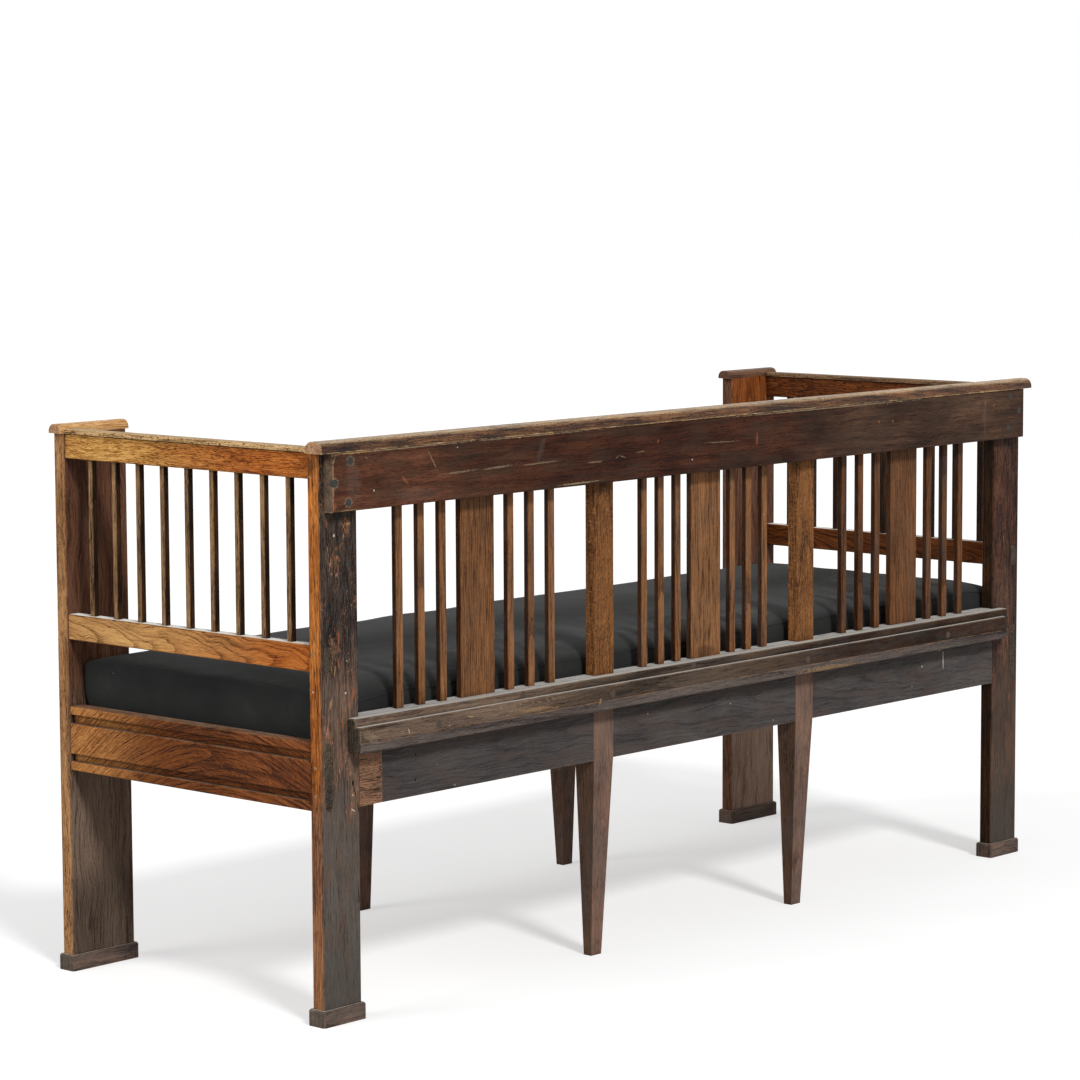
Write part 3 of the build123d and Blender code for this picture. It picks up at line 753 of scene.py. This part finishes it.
# %% Slats, legs and seat
slat_width = 0.015
bays = {
    "left": (0.047, "slat_far", "slat_far"),
    "middle": (0.042, "slat", "slat"),
    "right": (0.047, "slat", "wide"),
}
for bay, (pitch, slat_stain, wide_stain) in bays.items():
    for group in ("a", "b"):
        first_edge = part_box(f"slats_{bay}_bay_{group}")[0].x
        dress_oak(
            f"slats_{bay}_bay_{group}", "z", "slat_side", [(backward, slat_stain), (frontward, "russet")],
            bars=(0, first_edge + slat_width / 2 - pitch / 2, pitch), wear=0.55, bare="5c321c",
            specks=0.5, streak=0.5, line=0.22, haze=0.2)
    dress_oak(
        f"wide_slat_{bay}", "z", "slat_side", [(backward, wide_stain), (frontward, "russet")],
        marks=middle_slat_marks if bay == "middle" else (), bare="5c321c", pith=(-20.0, 300.0),
        tilt=0.004, ring=0.4, ring_width=3.0, sway=5.0, streak=0.45, line=0.4, haze=0.2,
        haze_tone="5a4a3c")
for side in ("left", "right"):
    dress_oak(f"stile_{side}", "z", "stile", bare="a8764a", pore=0.35, pore_size=(1.1, 4.0),
              flecks=0.3, line=0.3, streak=0.5)
    for place in ("back", "front"):
        dress_oak(
            f"middle_leg_{place}_{side}", "z", "leg_side", [(backward, "leg")], bare="8a6046",
            specks=0.8, ring=0.12, ring_width=4.0, streak=0.5, line=0.2, pore=0.06, haze=0.35,
            haze_tone="55504c")
    dress_oak(f"seat_bearer_{side}", "y", "bare_wood", dust=0.3)
    dress_oak(f"seat_cleat_{side}", "y", "bare_wood", dust=0.3)
dress_oak("front_seat_rail", "x", "russet", [(frontward, "amber")], flecks=0.2, dust=0.6, tilt=0.05)
for number in range(1, 5):
    dress_oak(f"seat_board_{number}", "x", "bare_wood", dust=0.3)
print("dressed:", len(dressed), "of", len(nodes) - 1)

# %% [markdown]
# ## Plugs and pegs
#
# The crest board and the moulding are screwed on from behind, and each screw sits under a plug of putty,
# black in the crest and brown in the moulding. The tenons of the rails are pinned through the posts, and
# the pins show as small pale pegs on the outer faces. One more peg sits in the cap. All are low buttons: a
# short cone with two equal radii and a bevelled rim, turned to look out of its face and let in so that it
# stands a fraction of a millimetre proud.

# %% Plugs
button_proud = 0.0004
rim_share = 0.12


def new_piece(name, mesh):
    """An object made of a bmesh, linked to the scene."""
    data = bpy.data.meshes.new(name)
    mesh.to_mesh(data)
    mesh.free()
    return linked(name, data)


def bevelled(mesh, edges, width, segments):
    bmesh.ops.bevel(mesh, geom=edges, offset=width, offset_type="OFFSET", segments=segments, profile=0.5,
                    affect="EDGES", material=-1)


def buttons(name, places, radius, depth, finish_material):
    """One piece of several round buttons. Each place has a point on its face and the way the face looks."""
    mesh = bmesh.new()
    for point, normal in places:
        point, normal = Vector(point), Vector(normal).normalized()
        middle = point + normal * (button_proud - depth / 2)
        turn = Matrix.Translation(middle) @ normal.to_track_quat("Z", "Y").to_matrix().to_4x4()
        made = bmesh.ops.create_cone(mesh, cap_ends=True, segments=20, radius1=radius, radius2=radius,
                                     depth=depth, matrix=turn)
        outer = {vertex for vertex in made["verts"] if (vertex.co - middle).dot(normal) > 0}
        rim = [edge for edge in mesh.edges if edge.verts[0] in outer and edge.verts[1] in outer]
        bevelled(mesh, rim, radius * rim_share, 2)
    piece = new_piece(name, mesh)
    piece.data.materials.append(finish_material)
    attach(piece, "root")


def filler(name, low_tone, middle_tone, high_tone, rim_tone):
    """Gritty filler or end grain for a button, with a rim of another tone."""
    finish = Finish(name, 0.25)
    board = Board(finish, 5.0, "y", (0.0, 0.0, 0.0))
    grit = board.noise(1.5, 1.5, 1.5, 3.0, 0.7)
    colour = finish.ramp(grit, (0.3, low_tone), (0.55, middle_tone), (0.75, high_tone))
    worn = finish.arris(0.0012).step(0.2, 0.6) * 0.5
    return finish.finish(colour.coat(worn, rim_tone), grit * 0.3 + 0.5, grit, 0.0004)


crest_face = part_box("crest_board")[1].y
mould_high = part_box("sill_moulding")[1].y
main_face, upper_face = mould_high - 0.002, mould_high - 0.011
post_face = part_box("post_back_right")[1].x
plug_radius, plug_depth = 0.006, 0.003
black_putty = filler("plug_putty", "1a1b1b", "313331", "5a5446", "5a4a3c")
brown_putty = filler("plug_putty_brown", "2a211b", "4d4037", "665749", "4e4238")
plug_places = {
    "crest_near": (black_putty, [
        (0.836, crest_face, 0.8366), (0.869, crest_face, 0.8061), (0.8408, crest_face, 0.776)]),
    "crest_far": (black_putty, [
        (-0.8306, crest_face, 0.8375), (-0.8576, crest_face, 0.8112), (-0.8253, crest_face, 0.7825)]),
    "moulding": (brown_putty, [
        (0.662, main_face, 0.4295), (0.265, main_face, 0.428), (-0.235, main_face, 0.428),
        (-0.635, main_face, 0.428), (0.465, upper_face, 0.449), (0.055, upper_face, 0.449)]),
}
for group, (putty, points) in plug_places.items():
    outlooks = [(point, backward) for point in points]
    buttons(f"plugs_{group}", outlooks, plug_radius, plug_depth, putty)
print("plugs:", sum(len(points) for putty, points in plug_places.values()))

# %% Pegs
peg_wood = filler("peg_wood", "6a4a2c", "8f7558", "b8a58a", "a08a6c")
peg_places = ((0.265, 0.5544), (0.2695, 0.3858), (0.2695, 0.3439), (-0.293, 0.5808))
peg_radius, cap_plug_radius, peg_depth = 0.0026, 0.0042, 0.004
for side, (x, _, _) in outward.items():
    pegs = [((x * post_face, y, z), outward[side]) for y, z in peg_places]
    buttons(f"pegs_{side}", pegs, peg_radius, peg_depth, peg_wood)
cap_plug = ((0.853, 0.2929, 0.8649), (0.0, 0.5, 0.87))
buttons("plug_cap", [cap_plug], cap_plug_radius, peg_depth, peg_wood)
print("pegs:", len(outward) * len(peg_places))

# %% [markdown]
# ## The cushion
#
# A loose box cushion: a top and a bottom panel sewn to a boxing strip, filled tight enough to crown. It
# starts as a box with rounded corners a little smaller than the space for it, is remeshed into even
# quads, and is blown up as cloth. A cap on how far a point may move keeps it from ballooning. Then it is
# settled by formula: its corners are filled out, its sides bow in, its edges sink, and all of it is held
# inside the space between the rails. Each seam is a thin roll along a level cut through the blown-up cover,
# and it is settled by the same formula, so it lies on the cushion.

# %% Cushion body
cushion_low, cushion_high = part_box("cushion")
print("space for the cushion:", [round(value, 3) for value in cushion_high - cushion_low])


def cushion_block():
    """Box with rounded upright corners and rolled rims, a little smaller than the finished cushion."""
    shrink, corner_radius, rim_radius = 0.002, 0.007, 0.008
    size = cushion_high - cushion_low - Vector((2 * shrink, 2 * shrink, shrink))
    middle = (cushion_high + cushion_low) / 2 - Vector((0, 0, shrink / 2))
    mesh = bmesh.new()
    bmesh.ops.create_cube(mesh, size=1.0)
    bmesh.ops.scale(mesh, vec=size, verts=mesh.verts)
    bmesh.ops.translate(mesh, vec=middle, verts=mesh.verts)
    uprights = [edge for edge in mesh.edges if abs(edge.verts[0].co.z - edge.verts[1].co.z) > 0.01]
    bevelled(mesh, uprights, corner_radius, 3)
    rims = [edge for edge in mesh.edges if abs(edge.verts[0].co.z - edge.verts[1].co.z) < 1e-6]
    bevelled(mesh, rims, rim_radius, 3)
    return new_piece("cushion_cover", mesh)


def evaluated(piece):
    """The mesh that a piece's modifiers, or the bevel of a line, make of it."""
    graph = bpy.context.evaluated_depsgraph_get()
    return bpy.data.meshes.new_from_object(piece.evaluated_get(graph))


def apply_modifiers(piece):
    shaped = evaluated(piece)
    piece.modifiers.clear()
    piece.data = shaped


def points_of(data):
    places = np.zeros(len(data.vertices) * 3)
    data.vertices.foreach_get("co", places)
    return places.reshape(-1, 3)


cover = cushion_block()
remesh = cover.modifiers.new("remesh", "REMESH")
remesh.mode = "VOXEL"
remesh.voxel_size = 0.0097
apply_modifiers(cover)
print("cushion quads before the cloth:", len(cover.data.polygons))

# %% Blow the cushion up as cloth
cloth_cap = 0.005
cloth_frames = 20
start_places = points_of(cover.data)
cloth = cover.modifiers.new("cloth", "CLOTH")
settings = {"quality": 5, "mass": 0.3, "tension_stiffness": 25, "compression_stiffness": 12,
            "bending_stiffness": 2.5, "use_pressure": True, "uniform_pressure_force": 4.0}
for name, value in settings.items():
    setattr(cloth.settings, name, value)
cloth.settings.effector_weights.gravity = 0
cloth.point_cache.frame_end = cloth_frames
for moment in range(1, cloth_frames + 1):
    scene.frame_set(moment)
apply_modifiers(cover)
places = points_of(cover.data)
moved = places - start_places
reach = np.linalg.norm(moved, axis=1, keepdims=True)
places = start_places + moved * np.minimum(1.0, cloth_cap / np.maximum(reach, 1e-9))
print("cloth moved at most", round(float(reach.max()), 4), "m")

# %% Settle it in its space
low, high = np.array(cushion_low), np.array(cushion_high)
middle = (low + high) / 2
half = (high - low) / 2


def within(distance, width):
    """1 at a distance of nothing, falling to 0 at a width."""
    return np.clip(1.0 - distance / width, 0.0, 1.0)


def rolled(distance, width, drop):
    """How far a quarter of an ellipse lies under its top, at a distance from its foot."""
    return drop * (1.0 - np.sqrt(1.0 - within(distance, width) ** 2))


fill_out, corner_fill, bow_in, tuck_in = 0.006, 0.009, 0.004, 0.012
side_gap = (0.0005, 0.0005, 0.0)


def settled(places):
    """Points of the blown-up cover with their sides pulled in and the edge by the back rolled over."""
    places = places.copy()
    offset = (places - middle) / half
    outer, toward = np.abs(offset), np.sign(offset)
    corner = outer[:, :1] ** 24 * outer[:, 1:2] ** 8
    places[:, :2] += toward[:, :2] * (fill_out * outer[:, :2] ** 4 + corner_fill * corner)
    places[:, 1] -= toward[:, 1] * bow_in * (1 - outer[:, 0] ** 2) * outer[:, 1] ** 6
    places[:, 0] -= toward[:, 0] * bow_in * (1 - outer[:, 1] ** 2) * outer[:, 0] ** 12
    x, y = places[:, 0], places[:, 1]
    waves = 0.0014 * np.sin(x * 19.0 + y * 6.0 + 2.0 * np.sin(x * 7.0 + y * 5.0)) * outer[:, 1] ** 3
    waves += 0.0008 * np.sin(y * 55.0 + 3.0 * np.sin(x * 11.0)) * outer[:, 0] ** 2
    places[:, 2] += (waves - 0.0006) * (places[:, 2] > middle[2])
    places = np.clip(places, low + side_gap, high - side_gap)
    tucked = tuck_in * within(places[:, 2:] - low[2], 0.06) ** 2
    places[:, :2] -= toward[:, :2] * tucked * outer[:, :2] ** 8
    x, y = places[:, 0], places[:, 1]
    near = np.clip(0.5 + 0.5 * offset[:, 0], 0.0, 1.0)
    sunk = rolled(high[1] - y, 0.075, 0.014 + 0.022 * near) + rolled(y - low[1], 0.05, 0.005)
    sunk += (0.002 + 0.001 * near) * within(half[0] - np.abs(x - middle[0]), 0.15) ** 1.5
    puckers = 0.0016 * np.sin(x * 61.0 + 2.5 * np.sin(x * 13.0))
    sunk += puckers * within(high[1] - y, 0.12)
    places[:, 2] = low[2] + (places[:, 2] - low[2]) * (1.0 - np.maximum(sunk, 0.0) / (high[2] - low[2]))
    return places


cover.data.vertices.foreach_set("co", places.ravel())
blown = cover.data.copy()
cover.data.vertices.foreach_set("co", settled(places).ravel())
for polygon in cover.data.polygons:
    polygon.use_smooth = True
smoother = cover.modifiers.new("smooth", "SUBSURF")
smoother.levels = smoother.render_levels = 1
apply_modifiers(cover)
print("cushion triangles:", 2 * len(cover.data.polygons))

# %% Seams of the cushion
seam_radius = 0.0009


def seam(level, name):
    """Thin sewn roll round the cushion. It is cut level before the cover settles, and settles with it."""
    mesh = bmesh.new()
    mesh.from_mesh(blown)
    whole = mesh.verts[:] + mesh.edges[:] + mesh.faces[:]
    bmesh.ops.bisect_plane(mesh, geom=whole, plane_co=(0, 0, level), plane_no=(0, 0, 1), dist=1e-6,
                           clear_inner=True, clear_outer=True)
    for _ in range(3):
        bmesh.ops.smooth_vert(mesh, verts=mesh.verts, factor=0.5, use_axis_x=True, use_axis_y=True)
    line = new_piece(name + "_line", mesh)
    line.data.vertices.foreach_set("co", settled(points_of(line.data)).ravel())
    with bpy.context.temp_override(active_object=line, selected_objects=[line], object=line,
                                   selected_editable_objects=[line]):
        bpy.ops.object.convert(target="CURVE")
    line.data.bevel_depth = seam_radius
    line.data.bevel_resolution = 1
    roll = evaluated(line)
    bpy.data.objects.remove(line)
    for polygon in roll.polygons:
        polygon.use_smooth = True
    return linked(name, roll)


seam_inset = 0.006
upper_seam = seam(cushion_high.z - seam_inset, "cushion_seam_upper")
lower_seam = seam(cushion_low.z + seam_inset, "cushion_seam_lower")
print("seam faces:", len(upper_seam.data.polygons), len(lower_seam.data.polygons))

# %% [markdown]
# ## Black cloth
#
# The cover is a matte black cotton that has picked up lint. A flat black would read as a hole, so the
# cloth gets a fine weave in its bump, soft clouds of wear in its colour, a pale bloom where it faces up,
# which is lint and a painted sheen of the light on its top, faint creases there too, and a few bright
# specks of lint, which are the small cells of a Voronoi pattern that a second noise lets through.

# %% Cloth finish
def black_cotton(name):
    finish = Finish(name, 0.12)
    place = finish.node("TexCoord", {}, {}, "Object")
    x, y, z = finish.split(place)
    thread = 0.0011
    turns = 2 * math.pi / thread
    waves = [(axis * turns).math("SINE") for axis in (x, y, z)]
    weave = waves[0] + waves[1] + waves[2]
    clouds = finish.noise(x * 9, y * 9, z * 9, 4.0, 0.6)
    fuzz = finish.noise(x * 700, y * 700, z * 700, 2.0)
    shade = clouds + (fuzz - 0.5) * 0.3 + weave * 0.02
    colour = finish.ramp(shade, (0.3, "1c1d1c"), (0.55, "242524"), (0.78, "323331"))
    upward = finish.facing(skyward, 0.5, 0.95)
    grain = finish.noise(x * 420, y * 420, z * 420, 2.0, 0.7)
    # Pale bloom where the cloth faces up: lint, and a painted sheen of light on the pile of the top.
    colour = colour.coat(upward * grain * 0.16, "4c4d4a")
    lines = finish.noise(x * 11, y * 170, z * 170, 2.0)
    creases = lines.step(0.6, 0.72) * clouds.step(0.45, 0.6)
    colour = colour.coat(creases * upward * 0.2, "6a6b68")
    lint = finish.node("TexVoronoi", {}, {"Vector": place, "Scale": 26.0}, "Distance")
    chosen = finish.noise(x * 21, y * 21, z * 21, 0.0)
    specks = lint.step(0.022, 0.012) * chosen.step(0.5, 0.52)
    colour = colour.coat(specks * 0.7, "a8a8a2")
    folds = finish.noise(x * 16, y * 9, z * 9, 2.0)
    height = weave * 0.02 + folds * 1.2 + fuzz * 0.05 + grain * 0.06
    finish.surface({"Sheen Weight": 0.06, "Sheen Roughness": 0.5})
    return finish.finish(colour, fuzz * 0.1 + 0.85, height, 0.004)


cotton = black_cotton("black_cotton")
for piece in (cover, upper_seam, lower_seam):
    piece.data.materials.clear()
    piece.data.materials.append(cotton)
    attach(piece, "root")
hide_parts("cushion")
print("nodes of the cloth:", len(cotton.node_tree.nodes))

# %% [markdown]
# ## Floor and light
#
# The settle stands on a plain white sweep. A large lamp behind the camera's right shoulder does most of
# the work and throws the soft bars of shadow on the cushion, and a weaker one on the left lights the
# faded end. The sky fills in. The floor is mostly a pale paint with a little light of its own for the
# camera, so that it meets the white background and still holds the shadow.

# %% Floor
def white_floor():
    finish = Finish("floor_white", 0.0)
    place = finish.node("TexCoord", {}, {}, "Object")
    x, y, z = finish.split(place)
    speckle = finish.noise(x * 4, y * 4, z * 4, 2.0)
    colour = finish.ramp(speckle, (0.3, (0.50, 0.50, 0.50, 1)), (0.7, (0.52, 0.52, 0.52, 1)))
    glow = {"Emission Color": finish.seen_ray(), "Emission Strength": 0.53}
    return finish.surface({"Base Color": colour, "Roughness": 0.9, **glow})


mesh = bmesh.new()
floor_radius = 40.0
bmesh.ops.create_circle(mesh, cap_ends=True, radius=floor_radius, segments=64)
floor = new_piece("floor", mesh)
floor.data.materials.append(white_floor())
print("floor across:", round(floor.dimensions.x), "m")

# %% Lamps and sky
def lamp(name, toward, strength, spread):
    """A far lamp whose light comes from one direction, with an edge as soft as its spread."""
    data = bpy.data.lights.new(name, "SUN")
    data.energy = strength
    data.angle = math.radians(spread)
    linked(name, data).rotation_euler = Vector(toward).to_track_quat("Z", "Y").to_euler()


lamp("lamp_right", (0.38, 1.0, 0.95), 2.3, 10)
lamp("lamp_left", (1.0, -0.25, 0.65), 1.1, 30)


class Sky(Finish):
    """The nodes of the world, made by the same methods as those of a finish."""

    def __init__(self, world):
        world.use_nodes = True
        self.tree = world.node_tree
        self.tree.nodes.clear()


scene.world = bpy.data.worlds.new("studio")
sky = Sky(scene.world)
white = (1, 1, 1, 1)
fill = sky.node("Background", {}, {"Color": white, "Strength": 0.42})
backdrop = sky.node("Background", {}, {"Color": white, "Strength": 1.0})
shown = sky.node("MixShader", {}, {0: sky.seen_ray(), 1: fill, 2: backdrop})
sky.feed(sky.tree.nodes.new("ShaderNodeOutputWorld").inputs["Surface"], shown)
scene.view_settings.view_transform = "Standard"
print("lamps:", len(bpy.data.lights), "sky nodes:", len(sky.tree.nodes))

# %% [markdown]
